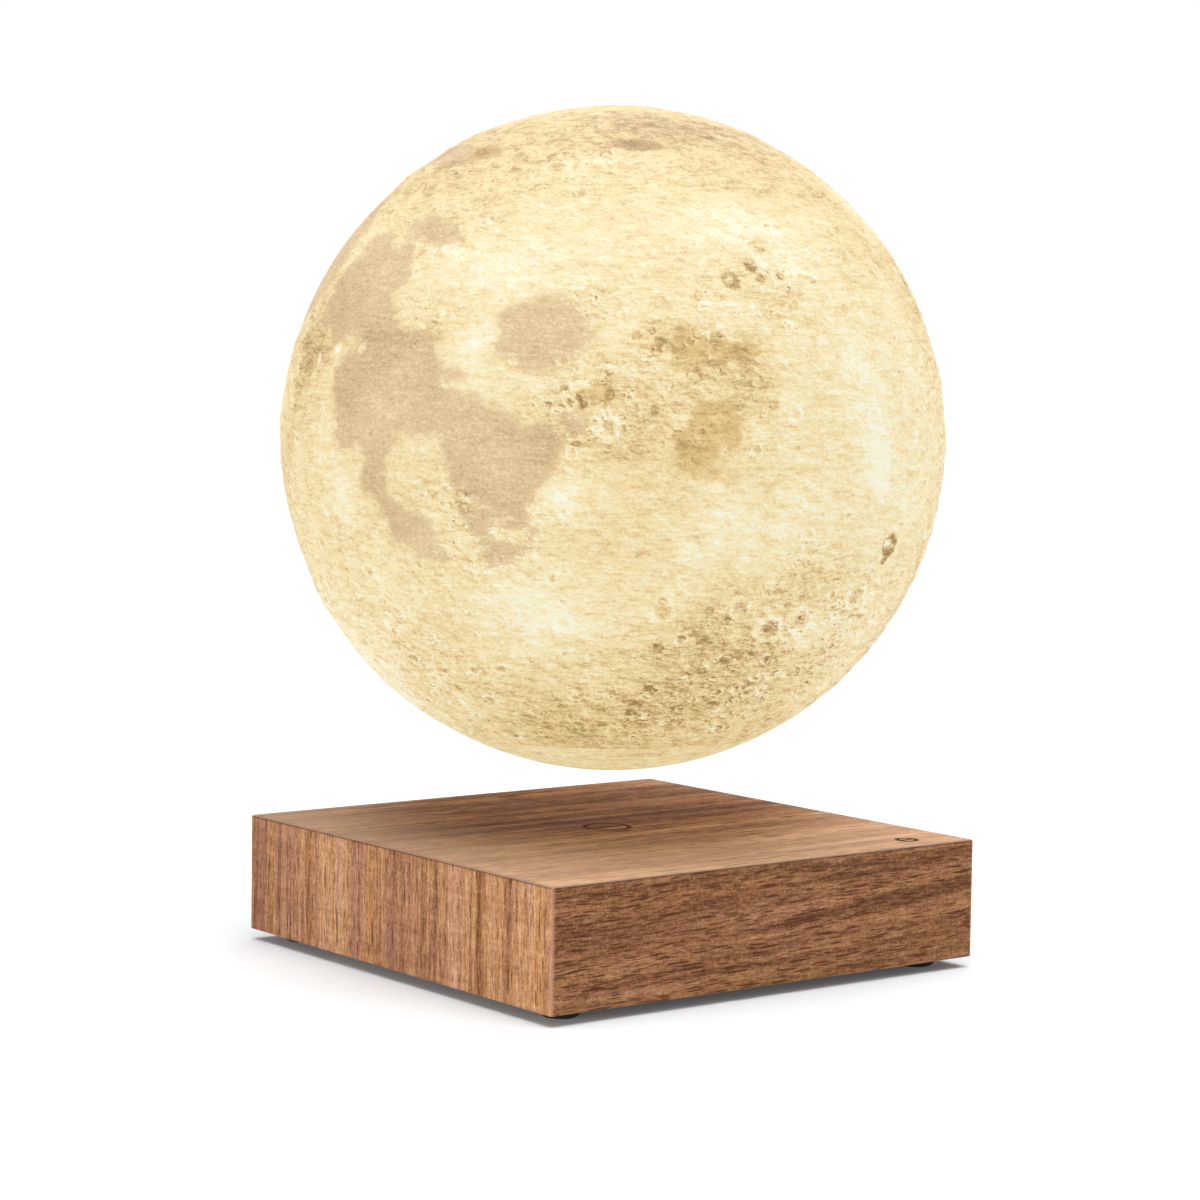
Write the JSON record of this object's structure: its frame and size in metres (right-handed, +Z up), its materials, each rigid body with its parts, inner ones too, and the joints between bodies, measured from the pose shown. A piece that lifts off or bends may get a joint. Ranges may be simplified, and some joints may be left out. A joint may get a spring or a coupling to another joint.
{
  "type": "levitating moon lamp",
  "caption": "Glowing printed moon that floats over a square walnut base with a magnet drive and touch mark.",
  "frame": {"origin": "on the table, under the middle of the base", "axes": "+Z up; the front panel faces -Y and the power socket faces +Y; +X to the right seen from the front"},
  "size_m": [0.18, 0.18, 0.2315],
  "materials": {
    "walnut": "oiled walnut veneer, satin",
    "pale_wood": "sawn softwood",
    "black_plastic": "fine moulded texture",
    "screw_steel": "zinc plated, bright",
    "black_rubber": "matt",
    "circuit_board": "green solder mask, satin",
    "capacitor_can": "drawn can, satin",
    "ferrite": "sintered, matt dark grey",
    "chip_black": "moulded epoxy, matt",
    "chip_tan": "fired ceramic chip, matt",
    "white_plastic": "moulded, satin",
    "contact_metal": "plated, bright",
    "plated_steel": "zinc plated, satin",
    "copper": "enamelled copper wire, glossy",
    "lead_sleeve": "soft red sleeve, satin",
    "nickel": "nickel plated, bright",
    "moon_plastic": "printed white plastic, lit warm from inside",
    "light_board_white": "white solder mask, satin",
    "light_yellow": "phosphor lens, lit"
  },
  "bodies": {
    "base": {"top_panel": "walnut", "front_panel": "walnut", "right_panel": "walnut", "back_panel": "walnut", "left_panel": "walnut", "corner_blocks": "pale_wood", "bottom_plate": "black_plastic", "plate_screws": "screw_steel", "rubber_feet": "black_rubber", "tray_screws": "screw_steel", "control_board": "circuit_board", "board_capacitors": "capacitor_can", "board_inductor": "ferrite", "driver_chips": "chip_black", "control_chip": "chip_black", "small_parts": "chip_tan", "board_connectors": "white_plastic", "socket_body": "black_plastic", "socket_pin": "contact_metal", "socket_leaf": "contact_metal", "drive_tray": "black_plastic", "yoke_plate": "plated_steel", "ring_magnet": "ferrite", "coil_bobbins": "black_plastic", "coil_windings": "copper", "coil_cores": "plated_steel", "sensor_board": "circuit_board", "field_sensors": "chip_black", "coil_carrier": "black_plastic", "sending_coil": "copper", "touch_pad": "copper", "magnet_lead": "lead_sleeve", "sender_lead": "lead_sleeve", "touch_lead": "lead_sleeve"},
    "magnet": {"float_magnet": "nickel"},
    "moon": {"moon_shell": "moon_plastic", "mouth_ring": "white_plastic", "bottom_cap": "moon_plastic", "magnet_lid": "white_plastic", "receiving_coil": "copper", "ferrite_ring": "ferrite", "receiver_leads": "copper", "light_board": "light_board_white", "light_screws": "screw_steel", "lights": "light_yellow", "receiver_chips": "chip_black", "receiver_capacitors": "capacitor_can"}
  },
  "joints": [
    {"name": "moon_lift", "type": "slide", "parent": "base", "child": "magnet", "axis": [0, 0, 1], "range_m": [-0.0167, 0.06], "stiffness_N_per_m": 70, "springref_m": 0.0435},
    {"name": "moon_spin", "type": "hinge", "parent": "magnet", "child": "moon", "pos_m": [0, 0, 0.1415], "axis": [0, 0, 1], "continuous": true}
  ]
}
